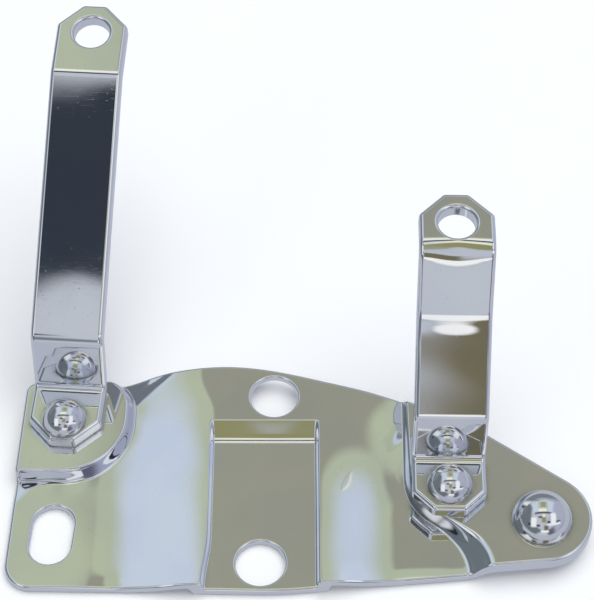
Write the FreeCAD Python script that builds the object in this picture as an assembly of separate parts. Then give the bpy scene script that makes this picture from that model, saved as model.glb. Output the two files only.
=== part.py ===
import FreeCAD, Part
import math
import os

# A chromed steel bracket: one pressed base plate, two bent flat-bar arms, three round-head rivets.
# All sizes are millimetres. The origin is on the mounting face, between the two centre bolt holes.
# +Z comes out of the front of the plate, +Y is the way the arms reach.

os.makedirs("parts", exist_ok=True)
V = FreeCAD.Vector

# ---- base plate, in plan
PLATE_T = 2.0              # general thickness
TIP_T = 4.0                # the raised right end is this thick
LEFT_X = -66.0             # left edge
TOP_LEFT_Y = 29.8
BOTTOM_LEFT_Y = -30.0
BOTTOM_MID = (3.0, -31.2)  # where the lower edge turns up towards the tip
TIP_CENTRE = (70.3, -12.2)
TIP_R = 13.0
TIP_TOP_DEG = 54.3         # where the round tip meets the upper edge
TIP_BOTTOM_DEG = -85.0     # where it meets the lower edge
TOP_CURVE = [(-45.0, 30.3), (-38.0, 31.2), (-31.5, 33.3), (-22.0, 35.0), (-11.0, 35.8),
             (10.5, 32.2), (36.5, 23.7), (59.0, 11.9)]
TOP_CURVE_END = (-8.0, -0.6)    # its direction where it reaches the left pad
EDGE_LEAN = 0.9            # the left edge leans this much either side of LEFT_X
TOP_LEFT_R = 3.0
BOTTOM_LEFT_R = 7.0
LOWER_EDGE_R = 90.0        # the easy turn in the lower edge

# ---- base plate, heights of its front surface above the mounting face
SEAT_Z = 5.2               # upper bolt seat and the crests beside the channel
WING_TOP_Z = 2.8           # left wing, far from the channel, by the upper edge
VALLEY_Z = 2.3             # lowest line of the right wing
PAD_Z = 6.0                # raised pad under the left foot
TIP_Z = 7.0                # raised right end

# ---- wings: the plate falls away from the flat middle over this distance
LEFT_CREST = -14.5
RIGHT_CREST = 12.8
LEFT_WING_RUN = 30.0
RIGHT_WING_RUN = 23.0
WING_START = 0.8           # how steeply a wing leaves its crest, against its mean slope
CREST_SOFT = 1.0           # how softly a wing starts at its crest
MIDDLE_SPREAD = (4.0, 2.5)  # above the channel the flat middle is wider by this, left and right
MIDDLE_SPREAD_RUN = 16.0
LEFT_RISE = (4.0, 24.0)    # the left wing's far side rises from this y, over this distance
RIGHT_RISE = (0.0, 34.0)   # and the right wing's
RISE_SOFT = 6.0            # how softly that rise starts and ends
EDGE_ROLL = (-22.0, 12.0)  # the lower edge rolls down below this y, over this distance
LEFT_ROLL = 0.7            # how far it rolls down on the left wing
LEFT_ROLL_X = ((-21.0, 8.0), (-36.0, 10.0))   # where that starts and ends, each with its run
RIGHT_ROLL = 0.7
RIGHT_ROLL_X = (18.0, 8.0)
CREASE_AT = (-23.5, 34.5)  # a crease runs from here at 45 degrees towards the pad
CREASE_DROP = 0.5
CREASE_RUN = 7.0

# ---- the recessed channel
CHANNEL_LEFT = -14.2
CHANNEL_FLARE = 1.4        # the left side opens this much towards the lower edge
CHANNEL_FLARE_Y = -14.0    # from here down
CHANNEL_RIGHT = 12.4
CHANNEL_TOP = 12.5         # end of the flat floor
CHANNEL_RAMP_END = 18.4    # where the sloping upper wall meets the seat
CHANNEL_SKIN = 3.0         # metal beside the channel
RAMP_SKIN = 5.5            # and behind its sloping upper wall
CHANNEL_SKIN_Z = 4.0       # how high that metal stands, just below the front of the wings

# ---- the left pad and the step up to the right end
PAD_RIGHT = -38.3
PAD_BOTTOM = 2.7
PAD_CORNER_R = 16.0
PAD_TOP = 31.0             # just past the plate's upper edge
PAD_TOP_R = 9.0
PAD_WALL_LEFT = 2.0        # width of the pad's wall at the plate's left edge
PAD_WALL = 3.0             # and further right
PAD_WALL_X = (-60.0, 16.0)  # it widens from this x, over this distance
STEP_FOOT = (35.6, -6.5, -40.0, 50.0)    # left x, knee y, slant in degrees, lower x
STEP_TOP = (37.5, -6.4, -33.0, 58.5)
STEP_ROUND = 6.0
STEP_WALL_LEAST = 1.0      # the step's wall is nowhere narrower than this, in plan

# ---- holes in the plate
BOLT_D = 12.7
UPPER_BOLT = (1.6, 25.8)
LOWER_BOLT = (-1.6, -23.0)
SLOT_AT = (-55.4, -14.7)
SLOT_W = 10.8
SLOT_L = 17.0
SLOT_LEAN_DEG = 4.0

# ---- arms: 19 x 4 mm flat bar, clipped at both ends
BAR_W = 19.05
BAR_T = 4.0
CLIP = 6.4                 # how much of each corner is clipped
TAB_HOLE_D = 9.5
TAB_HOLE_IN = 8.9          # hole centre to the end of the tab
CLIP_OVER = 1.3            # a clip's cutter is this much larger than the clip
BEND_R = 2.0               # inside radius of a sharp bend
EASY_BEND_R = 14.0         # inside radius of the easy bend in the right arm

# ---- rivets
RIVET_D = 6.5
RIVET_HEAD_D = 11.6
RIVET_HEAD_H = 4.8
TIP_RIVET_D = 8.0
TIP_RIVET_HEAD_D = 15.4
TIP_RIVET_HEAD_H = 7.0
TIP_RIVET_AT = (70.3, -13.0)
TAIL_H = 1.8               # the closed tail behind the plate
TAIL_EXTRA_D = 4.0         # how much wider than the shank it is
TAIL_CHAMFER = 0.8
TAIL_FACE_EXTRA_D = 1.0    # its spot face behind the plate is this much wider than the tail
NUT_FACE_EXTRA_D = 3.0     # and the upper bolt's is this much wider than its hole

# Each run of an arm is (length, rise in degrees above the plate, inside bend radius before it).
LEFT_ARM = {
    "bend": (-52.9, 25.6), "lean": 3.8, "foot": 16.6, "rivet_in": 6.4, "foot_clip": CLIP,
    "foot_z": PAD_Z,
    "runs": [(16.6, 77.0, BEND_R), (72.0, 29.7, BEND_R), (21.8, 10.0, BEND_R)],
}
RIGHT_ARM = {
    "bend": (47.0, 2.5), "lean": 1.0, "foot": 15.0, "rivet_in": 7.3, "foot_clip": CLIP - 1.0,
    "foot_z": TIP_Z,
    "runs": [(14.0, 77.0, BEND_R), (26.8, 49.0, BEND_R), (18.9, 62.0, EASY_BEND_R),
             (16.8, 3.0, BEND_R)],
}

GRID = 1.4                 # spacing of the surface's control grid
SLACK = 0.05               # the surface stands this proud of a face that is then cut flat
MARGIN = 4.0               # the surface and the cutters reach this far past the plate
FAR = 200.0                # longer than anything here
LOW = (LEFT_X - MARGIN, BOTTOM_MID[1] - MARGIN)
HIGH = (TIP_CENTRE[0] + TIP_R + MARGIN, TOP_CURVE[4][1] + MARGIN)


def ease(t):
    """0 to 1 with flat ends."""
    t = min(max(t, 0.0), 1.0)
    return t ** 3 * (6.0 * t * t - 15.0 * t + 10.0)


def eased(value, start, run):
    """0 at the start and 1 a run beyond it; a negative run goes the other way."""
    return ease((value - start) / run)


def fall(t):
    """0 to 1 that leaves at a slope of its own and arrives level."""
    t = min(max(t, 0.0), 1.0)
    return WING_START * t * (1.0 - t) ** 2 + t * t * (3.0 - 2.0 * t)


def past(distance, soft=CREST_SOFT):
    """The distance where it is positive, 0 where it is negative, with a soft start."""
    return 0.5 * (distance + math.hypot(distance, soft))


def straight_rise(value, start, run):
    """0 before the start and 1 after the run, straight between them with soft corners."""
    return (past(value - start, RISE_SOFT) - past(value - start - run, RISE_SOFT)) / run


def outside_corner(across, along, radius):
    """Distance outside a corner of the given radius; both distances are from its sharp corner."""
    across = across + radius
    along = along + radius
    outside = math.hypot(max(across, 0.0), max(along, 0.0))
    return outside + min(max(across, along), 0.0) - radius


def corner_distance(x, y):
    """Distance outside the region that the left pad fills, rounded at its two right corners."""
    return max(outside_corner(x - PAD_RIGHT, PAD_BOTTOM - y, PAD_CORNER_R),
               outside_corner(x - PAD_RIGHT, y - PAD_TOP, PAD_TOP_R))


def blend_min(a, b, k):
    """Smaller of two distances, rounded over a band k wide where they meet."""
    h = max(k - abs(a - b), 0.0) / k
    return min(a, b) - h * h * k / 4.0


def inside_step(x, y, edge):
    """Distance inside an edge that runs down, slants right, then runs down again."""
    left, knee_y, slant, right = edge
    slope = math.radians(slant)
    slanted = -(x - left) * math.sin(slope) + (y - knee_y) * math.cos(slope)
    corner = blend_min(x - left, slanted, STEP_ROUND)
    return -blend_min(-corner, -(x - right), STEP_ROUND)


def raised(x, y):
    """1 on the raised right end, 0 off it."""
    foot = inside_step(x, y, STEP_FOOT)
    top = inside_step(x, y, STEP_TOP)
    return ease(foot / max(foot - top, STEP_WALL_LEAST))


def wing_z(x, y):
    """Height of the front surface of the wings, before the pad, the step and the channel."""
    spread = eased(y, CHANNEL_RAMP_END, MIDDLE_SPREAD_RUN)
    low_edge = eased(y, EDGE_ROLL[0], -EDGE_ROLL[1])
    if x < 0.0:
        far = PLATE_T + (WING_TOP_Z - PLATE_T) * eased(y, *LEFT_RISE)
        t = past(LEFT_CREST - MIDDLE_SPREAD[0] * spread - x) / LEFT_WING_RUN
        start, end = LEFT_ROLL_X
        roll = LEFT_ROLL * eased(x, start[0], -start[1]) * (1.0 - eased(x, end[0], -end[1]))
        beyond = (y - CREASE_AT[1] - x + CREASE_AT[0]) * math.sqrt(0.5)
        crease = CREASE_DROP * ease(beyond / CREASE_RUN)
    else:
        far = VALLEY_Z + (TIP_Z - VALLEY_Z) * straight_rise(y, *RIGHT_RISE)
        t = past(x - RIGHT_CREST - MIDDLE_SPREAD[1] * spread) / RIGHT_WING_RUN
        roll = RIGHT_ROLL * eased(x, *RIGHT_ROLL_X)
        crease = 0.0
    return SEAT_Z + (far - SEAT_Z) * fall(t) - crease - roll * low_edge


def front_z(x, y):
    """Height of the plate's front surface, all but the channel."""
    height = wing_z(x, y)
    height += (TIP_Z + SLACK - height) * raised(x, y)
    wall = PAD_WALL_LEFT + (PAD_WALL - PAD_WALL_LEFT) * eased(x, *PAD_WALL_X)
    height += (PAD_Z + SLACK - height) * (1.0 - ease(corner_distance(x, y) / wall))
    return height


def back_z(x, y):
    """Height of the plate's back surface."""
    return front_z(x, y) - PLATE_T - 2.0 * SLACK - (TIP_T - PLATE_T) * raised(x, y)


def steps(low, high):
    count = int(math.ceil((high - low) / GRID))
    return [low + (high - low) * i / count for i in range(count + 1)]


def surface(height):
    """A smooth surface through a grid of heights, wider than the plate all round."""
    xs = steps(LOW[0], HIGH[0])
    ys = steps(LOW[1], HIGH[1])
    result = Part.BSplineSurface()
    result.interpolate([[V(x, y, height(x, y)) for y in ys] for x in xs])
    return result


def slab():
    """The pressed sheet before it is cut to its outline."""
    front = surface(front_z).toShape()
    back = surface(back_z).toShape()
    sides = [Part.makeRuledSurface(a, b) for a, b in zip(front.Edges, back.Edges)]
    shell = Part.makeShell([front, back] + sides)
    solid = Part.makeSolid(shell)
    if solid.Volume < 0.0:
        solid.reverse()
    return solid


def rounded_path(points, radii):
    """Edges along the points, with a tangent arc of the given radius at each inner point."""
    edges = []
    start = points[0]
    for before, corner, after, radius in zip(points, points[1:], points[2:], radii):
        u = (before - corner).normalize()
        w = (after - corner).normalize()
        half = u.getAngle(w) / 2.0
        if radius <= 0.0 or half > math.radians(89.9):
            edges.append(Part.makeLine(start, corner))
            start = corner
            continue
        reach = radius / math.tan(half)
        first = corner + u * reach
        last = corner + w * reach
        middle = corner + (u + w).normalize() * (radius / math.sin(half) - radius)
        edges.append(Part.makeLine(start, first))
        edges.append(Part.Arc(first, middle, last).toShape())
        start = last
    edges.append(Part.makeLine(start, points[-1]))
    return edges


def on_tip(degrees):
    angle = math.radians(degrees)
    return V(TIP_CENTRE[0] + TIP_R * math.cos(angle), TIP_CENTRE[1] + TIP_R * math.sin(angle), 0)


def outline():
    """The plate's outline in plan, counter-clockwise from the foot of the round tip."""
    tip_low = on_tip(TIP_BOTTOM_DEG)
    tip_high = on_tip(TIP_TOP_DEG)
    tip = Part.Arc(tip_low, on_tip((TIP_BOTTOM_DEG + TIP_TOP_DEG) / 2.0), tip_high).toShape()
    curve_points = [V(x, y, 0) for x, y in reversed(TOP_CURVE)]
    curve = Part.BSplineCurve()
    curve.interpolate(curve_points, InitialTangent=curve_points[0] - tip_high,
                      FinalTangent=V(TOP_CURVE_END[0], TOP_CURVE_END[1], 0))
    low_mid = V(BOTTOM_MID[0], BOTTOM_MID[1], 0)
    corners = [curve_points[-1], V(LEFT_X + EDGE_LEAN, TOP_LEFT_Y, 0),
               V(LEFT_X - EDGE_LEAN, BOTTOM_LEFT_Y, 0), low_mid, tip_low]
    edges = [tip, Part.makeLine(tip_high, curve_points[0]), curve.toShape()]
    edges += rounded_path(corners, [TOP_LEFT_R, BOTTOM_LEFT_R, LOWER_EDGE_R])
    return Part.Wire(Part.__sortEdges__(edges))


def drill(at, diameter, z=-FAR / 2.0, height=FAR):
    return Part.makeCylinder(diameter / 2.0, height, V(at[0], at[1], z))


def slot_cutter():
    half = (SLOT_L - SLOT_W) / 2.0
    body = Part.makeBox(SLOT_W, 2.0 * half, FAR, V(-SLOT_W / 2.0, -half, -FAR / 2.0))
    for side in (-half, half):
        body = body.fuse(drill((0.0, side), SLOT_W))
    body = body.removeSplitter()
    body.rotate(V(0, 0, 0), V(0, 0, 1), -SLOT_LEAN_DEG)
    body.translate(V(SLOT_AT[0], SLOT_AT[1], 0))
    return body


def flat_block(low, high, z, upward):
    """A block over a rectangle that cuts a face flat at z, taking off what is past it."""
    base = z if upward else z - FAR
    return Part.makeBox(high[0] - low[0], high[1] - low[1], FAR, V(low[0], low[1], base))


def back_flat(at, diameter, z):
    """A round spot face behind the plate, where a rivet's tail or a nut bears."""
    return drill(at, diameter, z - FAR, FAR)


def arm_points(arm):
    """Visible side of an arm as (along, up) points from the end of its foot, and bend radii."""
    points = [(-arm["foot"], BAR_T), (0.0, BAR_T)]
    radii = []
    previous = 0.0
    for length, rise, inside in arm["runs"]:
        angle = math.radians(rise)
        u, z = points[-1]
        points.append((u + length * math.cos(angle), z + length * math.sin(angle)))
        radii.append(inside if rise > previous else inside + BAR_T)
        previous = rise
    return points, radii


def offset_points(points, thickness):
    """The same run of straight pieces moved to the hidden side of the bar."""
    result = []
    for i, point in enumerate(points):
        before = points[max(i - 1, 0)]
        after = points[min(i + 1, len(points) - 1)]
        first = math.atan2(point[1] - before[1], point[0] - before[0])
        last = math.atan2(after[1] - point[1], after[0] - point[0])
        first = last if i == 0 else first
        last = first if i == len(points) - 1 else last
        middle = (first + last) / 2.0
        reach = thickness / math.cos((first - last) / 2.0)
        result.append((point[0] + reach * math.sin(middle), point[1] - reach * math.cos(middle)))
    return result


def hidden_radii(arm, radii):
    """A bend that is tight on one side of the bar is wider by the bar's thickness on the other."""
    rises = [0.0] + [run[1] for run in arm["runs"]]
    turns = zip(rises, rises[1:], radii)
    return [radius + BAR_T if b > a else radius - BAR_T for a, b, radius in turns]


def cut_end(bar, at, rise, clip, turned, hole):
    """Clip the two corners of an end; at is the middle of the end on the bar's visible side."""
    half = BAR_W / 2.0
    deep = V(0, 0, -2.0 * BAR_T)
    out = (CLIP_OVER - 1.0) * clip
    back = CLIP_OVER * clip
    cutters = []
    for side in (-1.0, 1.0):
        outer = side * (half + out)
        corners = [V(-back, outer, 0), V(out, side * (half - back), 0), V(out, outer, 0), V(-back, outer, 0)]
        cutters.append(Part.Face(Part.makePolygon(corners)).extrude(V(0, 0, 3.0 * BAR_T)))
    if hole:
        cutters.append(Part.makeCylinder(TAB_HOLE_D / 2.0, 3.0 * BAR_T, V(-TAB_HOLE_IN, 0, 0)))
    for cutter in cutters:
        cutter.translate(deep)
        cutter.rotate(V(0, 0, 0), V(0, 0, 1), 180.0 if turned else 0.0)
        cutter.rotate(V(0, 0, 0), V(0, 1, 0), -rise)
        cutter.translate(at)
        bar = bar.cut(cutter)
    return bar


def place(shape, at, lean):
    """Move a shape from the arm's own frame (along = X) to the plate."""
    shape.rotate(V(0, 0, 0), V(0, 0, 1), 90.0 - lean)
    shape.translate(V(at[0], at[1], at[2]))
    return shape


def make_arm(arm):
    visible, radii = arm_points(arm)
    hidden = offset_points(visible, BAR_T)
    top = rounded_path([V(u, 0, z) for u, z in visible], radii)
    under = rounded_path([V(u, 0, z) for u, z in hidden], hidden_radii(arm, radii))
    ends = [Part.makeLine(V(visible[i][0], 0, visible[i][1]), V(hidden[i][0], 0, hidden[i][1]))
            for i in (0, -1)]
    profile = Part.Face(Part.Wire(Part.__sortEdges__(top + under + ends)))
    profile.translate(V(0, -BAR_W / 2.0, 0))
    bar = profile.extrude(V(0, BAR_W, 0))
    tab_end = V(visible[-1][0], 0, visible[-1][1])
    bar = cut_end(bar, V(-arm["foot"], 0, BAR_T), 0.0, arm["foot_clip"], True, False)
    bar = cut_end(bar, tab_end, arm["runs"][-1][1], CLIP, False, True)
    bar = bar.cut(drill((-arm["foot"] + arm["rivet_in"], 0.0), RIVET_D, -1.0, BAR_T + 2.0))
    return place(bar, (arm["bend"][0], arm["bend"][1], arm["foot_z"]), arm["lean"])


def rivet_at(arm):
    """Plan position of the rivet through an arm's foot."""
    back = arm["foot"] - arm["rivet_in"]
    lean = math.radians(arm["lean"])
    return (arm["bend"][0] - back * math.sin(lean), arm["bend"][1] - back * math.cos(lean))


def make_rivet(at, head_z, tail_z, shank_d, head_d, head_h):
    """A round head, a shank that fills its hole and a tail closed down behind the plate."""
    half = head_d / 2.0
    tail_half = (shank_d + TAIL_EXTRA_D) / 2.0
    shank = shank_d / 2.0
    radius = (half * half + head_h * head_h) / (2.0 * head_h)
    centre_z = head_z + head_h - radius
    middle = (math.atan2(head_z - centre_z, half) + math.pi / 2.0) / 2.0
    dome = Part.Arc(V(half, 0, head_z),
                    V(radius * math.cos(middle), 0, centre_z + radius * math.sin(middle)),
                    V(0, 0, head_z + head_h)).toShape()
    corners = [V(0, 0, head_z + head_h), V(0, 0, tail_z - TAIL_H),
               V(tail_half - TAIL_CHAMFER, 0, tail_z - TAIL_H), V(tail_half, 0, tail_z - TAIL_CHAMFER),
               V(tail_half, 0, tail_z), V(shank, 0, tail_z), V(shank, 0, head_z), V(half, 0, head_z)]
    sides = [Part.makeLine(a, b) for a, b in zip(corners, corners[1:])]
    face = Part.Face(Part.Wire(Part.__sortEdges__(sides + [dome])))
    body = face.revolve(V(0, 0, 0), V(0, 0, 1), 360.0)
    body.translate(V(at[0], at[1], 0))
    return body


def channel_plan(grow=0.0, grow_top=0.0):
    """The channel's outline in plan, wider by grow at both sides and longer at its closed end."""
    left = CHANNEL_LEFT - grow
    right = CHANNEL_RIGHT + grow
    top = CHANNEL_TOP + grow_top
    return [V(left - CHANNEL_FLARE, LOW[1], 0), V(right, LOW[1], 0), V(right, top, 0), V(left, top, 0),
            V(left, CHANNEL_FLARE_Y, 0)]


def prism(points, z, height):
    face = Part.Face(Part.makePolygon(points + points[:1]))
    face.translate(V(0, 0, z))
    return face.extrude(V(0, 0, height))


def channel_ramp():
    """What the sloping upper wall of the channel takes off."""
    high = 2.0 * SEAT_Z - PLATE_T
    end = 2.0 * CHANNEL_RAMP_END - CHANNEL_TOP
    side = [V(CHANNEL_LEFT, CHANNEL_TOP, PLATE_T), V(CHANNEL_LEFT, end, high),
            V(CHANNEL_LEFT, CHANNEL_TOP, high)]
    wide = V(CHANNEL_RIGHT - CHANNEL_LEFT, 0, 0)
    return Part.Face(Part.makePolygon(side + side[:1])).extrude(wide)


def make_plate(rivets):
    sheet = Part.Face(outline()).extrude(V(0, 0, FAR))
    sheet.translate(V(0, 0, -FAR / 2.0))
    channel_base = prism(channel_plan(CHANNEL_SKIN, RAMP_SKIN), 0.0, CHANNEL_SKIN_Z)
    plate = slab().fuse(channel_base).common(sheet)
    cutters = [
        prism(channel_plan(), PLATE_T, FAR),
        channel_ramp(),
        flat_block(LOW, HIGH, 0.0, False),
        flat_block((LOW[0], PAD_BOTTOM), (PAD_RIGHT, HIGH[1]), PAD_Z, True),
        flat_block((STEP_TOP[0], LOW[1]), HIGH, TIP_Z, True),
        back_flat(UPPER_BOLT, BOLT_D + NUT_FACE_EXTRA_D, SEAT_Z - PLATE_T),
    ]
    for cutter in cutters:
        plate = plate.cut(cutter)
    for at, tail_z, shank_d in rivets:
        plate = plate.cut(back_flat(at, shank_d + TAIL_EXTRA_D + TAIL_FACE_EXTRA_D, tail_z))
        plate = plate.cut(drill(at, shank_d))
    for at in (UPPER_BOLT, LOWER_BOLT):
        plate = plate.cut(drill(at, BOLT_D))
    return plate.cut(slot_cutter())


LEFT_TAIL_Z = PAD_Z - PLATE_T
TIP_TAIL_Z = TIP_Z - TIP_T

rivets = [(rivet_at(LEFT_ARM), LEFT_TAIL_Z, RIVET_D), (rivet_at(RIGHT_ARM), TIP_TAIL_Z, RIVET_D),
          (TIP_RIVET_AT, TIP_TAIL_Z, TIP_RIVET_D)]

parts = {
    "base_plate": make_plate(rivets),
    "left_arm": make_arm(LEFT_ARM),
    "right_arm": make_arm(RIGHT_ARM),
    "left_arm_rivet": make_rivet(rivet_at(LEFT_ARM), PAD_Z + BAR_T, LEFT_TAIL_Z,
                                 RIVET_D, RIVET_HEAD_D, RIVET_HEAD_H),
    "right_arm_rivet": make_rivet(rivet_at(RIGHT_ARM), TIP_Z + BAR_T, TIP_TAIL_Z,
                                  RIVET_D, RIVET_HEAD_D, RIVET_HEAD_H),
    "tip_rivet": make_rivet(TIP_RIVET_AT, TIP_Z, TIP_TAIL_Z,
                            TIP_RIVET_D, TIP_RIVET_HEAD_D, TIP_RIVET_HEAD_H),
}

for name, shape in parts.items():
    box = shape.BoundBox
    print("%-16s solids %d valid %s volume %9.1f  x %.2f..%.2f y %.2f..%.2f z %.2f..%.2f" % (
        name, len(shape.Solids), shape.isValid(), shape.Volume,
        box.XMin, box.XMax, box.YMin, box.YMax, box.ZMin, box.ZMax))
    shape.exportStep("parts/%s.step" % name)
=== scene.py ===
import math

import bpy
import numpy as np
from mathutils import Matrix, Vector
from mathutils.geometry import delaunay_2d_cdt


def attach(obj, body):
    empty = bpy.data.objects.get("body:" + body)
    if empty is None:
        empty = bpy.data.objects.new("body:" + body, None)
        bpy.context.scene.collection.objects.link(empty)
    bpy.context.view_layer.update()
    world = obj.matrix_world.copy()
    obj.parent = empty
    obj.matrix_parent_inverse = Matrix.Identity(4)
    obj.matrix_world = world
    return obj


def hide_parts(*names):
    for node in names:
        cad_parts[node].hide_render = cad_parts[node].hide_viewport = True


# Looks for the chromed bracket. Shapes are worked out in millimetres with the same dimensions as the
# CAD part, then written to the meshes in metres.

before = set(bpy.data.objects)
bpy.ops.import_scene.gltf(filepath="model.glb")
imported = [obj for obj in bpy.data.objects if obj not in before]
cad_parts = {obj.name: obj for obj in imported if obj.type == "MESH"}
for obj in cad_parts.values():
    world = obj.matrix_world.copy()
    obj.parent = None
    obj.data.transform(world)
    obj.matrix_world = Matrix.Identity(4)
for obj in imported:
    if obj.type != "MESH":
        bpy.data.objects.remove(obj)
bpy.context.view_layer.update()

MM = 0.001

# ---- dimensions shared with the CAD part
PLATE_T = 2.0
TIP_T = 4.0
LEFT_X = -66.0
TOP_LEFT_Y = 29.8
BOTTOM_LEFT_Y = -30.0
BOTTOM_MID = (3.0, -31.2)
TIP_CENTRE = (70.3, -12.2)
TIP_R = 13.0
TIP_TOP_DEG = 54.3
TIP_BOTTOM_DEG = -85.0
TOP_CURVE = [(-45.0, 30.3), (-38.0, 31.2), (-31.5, 33.3), (-22.0, 35.0), (-11.0, 35.8),
             (10.5, 32.2), (36.5, 23.7), (59.0, 11.9)]
TOP_CURVE_END = (-8.0, -0.6)
EDGE_LEAN = 0.9
TOP_LEFT_R = 3.0
BOTTOM_LEFT_R = 7.0
LOWER_EDGE_R = 90.0
SEAT_Z = 5.2
WING_TOP_Z = 2.8
VALLEY_Z = 2.3
PAD_Z = 6.0
TIP_Z = 7.0
LEFT_CREST = -14.5
RIGHT_CREST = 12.8
LEFT_WING_RUN = 30.0
RIGHT_WING_RUN = 23.0
WING_START = 0.8
CREST_SOFT = 1.0
MIDDLE_SPREAD = (4.0, 2.5)
MIDDLE_SPREAD_RUN = 16.0
LEFT_RISE = (4.0, 24.0)
RIGHT_RISE = (0.0, 34.0)
RISE_SOFT = 6.0
EDGE_ROLL = (-22.0, 12.0)
LEFT_ROLL = 0.7
LEFT_ROLL_X = ((-21.0, 8.0), (-36.0, 10.0))
RIGHT_ROLL = 0.7
RIGHT_ROLL_X = (18.0, 8.0)
CREASE_AT = (-23.5, 34.5)
CREASE_DROP = 0.5
CREASE_RUN = 7.0
CHANNEL_LEFT = -14.2
CHANNEL_FLARE = 1.4
CHANNEL_FLARE_Y = -14.0
CHANNEL_FLARE_RUN = 18.0
CHANNEL_RIGHT = 12.4
CHANNEL_TOP = 12.5
CHANNEL_RAMP_END = 18.4
CHANNEL_SKIN = 3.0
RAMP_SKIN = 5.5
RAMP_FILLET = 0.45          # the share of the ramp that curves up from the floor
CHANNEL_WALL = 1.3         # the pressed wall's width, where the CAD part has a plain upright wall
PAD_RIGHT = -38.3
PAD_BOTTOM = 2.7
PAD_CORNER_R = 16.0
PAD_TOP = 31.0
PAD_TOP_R = 9.0
PAD_WALL_LEFT = 1.6        # 2.0 in the CAD part
PAD_WALL = 3.0
PAD_WALL_X = (-60.0, 16.0)
STEP_FOOT = (35.6, -6.5, -40.0, 50.0)
STEP_TOP = (37.5, -6.4, -33.0, 58.5)
STEP_ROUND = 6.0
STEP_WALL_LEAST = 1.0
BOLT_D = 12.7
UPPER_BOLT = (1.6, 25.8)
LOWER_BOLT = (-1.6, -23.0)
SLOT_AT = (-55.4, -14.7)
SLOT_W = 10.8
SLOT_L = 17.0
SLOT_LEAN_DEG = 4.0
BAR_W = 19.05
BAR_T = 4.0
CLIP = 6.4
TAB_HOLE_D = 9.5
TAB_HOLE_IN = 8.9
BEND_R = 2.0
EASY_BEND_R = 14.0
RIVET_D = 6.5
RIVET_HEAD_D = 11.6
RIVET_HEAD_H = 4.8
TIP_RIVET_D = 8.0
TIP_RIVET_HEAD_D = 15.4
TIP_RIVET_HEAD_H = 7.0
TIP_RIVET_AT = (70.3, -13.0)
TAIL_H = 1.8
TAIL_EXTRA_D = 4.0
LEFT_ARM = {
    "bend": (-52.9, 25.6), "lean": 3.8, "foot": 16.6, "rivet_in": 6.4, "foot_clip": CLIP,
    "foot_z": PAD_Z,
    "runs": [(16.6, 77.0, BEND_R), (72.0, 29.7, BEND_R), (21.8, 10.0, BEND_R)],
}
RIGHT_ARM = {
    "bend": (47.0, 2.5), "lean": 1.0, "foot": 15.0, "rivet_in": 7.3, "foot_clip": CLIP - 1.0,
    "foot_z": TIP_Z,
    "runs": [(14.0, 77.0, BEND_R), (26.8, 49.0, BEND_R), (18.9, 62.0, EASY_BEND_R),
             (16.8, 3.0, BEND_R)],
}


# ---- heights of the plate
def ease(t):
    """0 to 1 with flat ends."""
    t = np.clip(t, 0.0, 1.0)
    return t ** 3 * (6.0 * t * t - 15.0 * t + 10.0)


def eased(value, start, run):
    """0 at the start and 1 a run beyond it; a negative run goes the other way."""
    return ease((value - start) / run)


def fall(t):
    """0 to 1 that leaves at a slope of its own and arrives level."""
    t = np.clip(t, 0.0, 1.0)
    return WING_START * t * (1.0 - t) ** 2 + t * t * (3.0 - 2.0 * t)


def past(distance, soft=CREST_SOFT):
    """The distance where it is positive, 0 where it is negative, with a soft start."""
    return 0.5 * (distance + np.hypot(distance, soft))


def straight_rise(value, start, run):
    """0 before the start and 1 after the run, straight between them with soft corners."""
    return (past(value - start, RISE_SOFT) - past(value - start - run, RISE_SOFT)) / run


def outside_corner(across, along, radius):
    """Distance outside a corner of the given radius; both distances are from its sharp corner."""
    across = across + radius
    along = along + radius
    outside = np.hypot(np.maximum(across, 0.0), np.maximum(along, 0.0))
    return outside + np.minimum(np.maximum(across, along), 0.0) - radius


def corner_distance(x, y):
    """Distance outside the region that the left pad fills, rounded at its two right corners."""
    return np.maximum(outside_corner(x - PAD_RIGHT, PAD_BOTTOM - y, PAD_CORNER_R),
                      outside_corner(x - PAD_RIGHT, y - PAD_TOP, PAD_TOP_R))


def blend_min(a, b, k):
    """Smaller of two distances, rounded over a band k wide where they meet."""
    h = np.maximum(k - np.abs(a - b), 0.0) / k
    return np.minimum(a, b) - h * h * k / 4.0


def inside_step(x, y, edge):
    """Distance inside an edge that runs down, slants right, then runs down again."""
    left, knee_y, slant, right = edge
    slope = math.radians(slant)
    slanted = -(x - left) * math.sin(slope) + (y - knee_y) * math.cos(slope)
    corner = blend_min(x - left, slanted, STEP_ROUND)
    return -blend_min(-corner, -(x - right), STEP_ROUND)


def up_step(x, y):
    """How far up the step's wall a point is: 0 at its foot, 1 at its top."""
    foot = inside_step(x, y, STEP_FOOT)
    return foot / np.maximum(foot - inside_step(x, y, STEP_TOP), STEP_WALL_LEAST)


def up_pad(x, y):
    """How far up the pad's wall a point is: 0 at its foot, 1 at its top."""
    wall = PAD_WALL_LEFT + (PAD_WALL - PAD_WALL_LEFT) * eased(x, *PAD_WALL_X)
    return 1.0 - corner_distance(x, y) / wall


def raised(x, y):
    """1 on the raised right end, 0 off it."""
    return ease(up_step(x, y))


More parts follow.
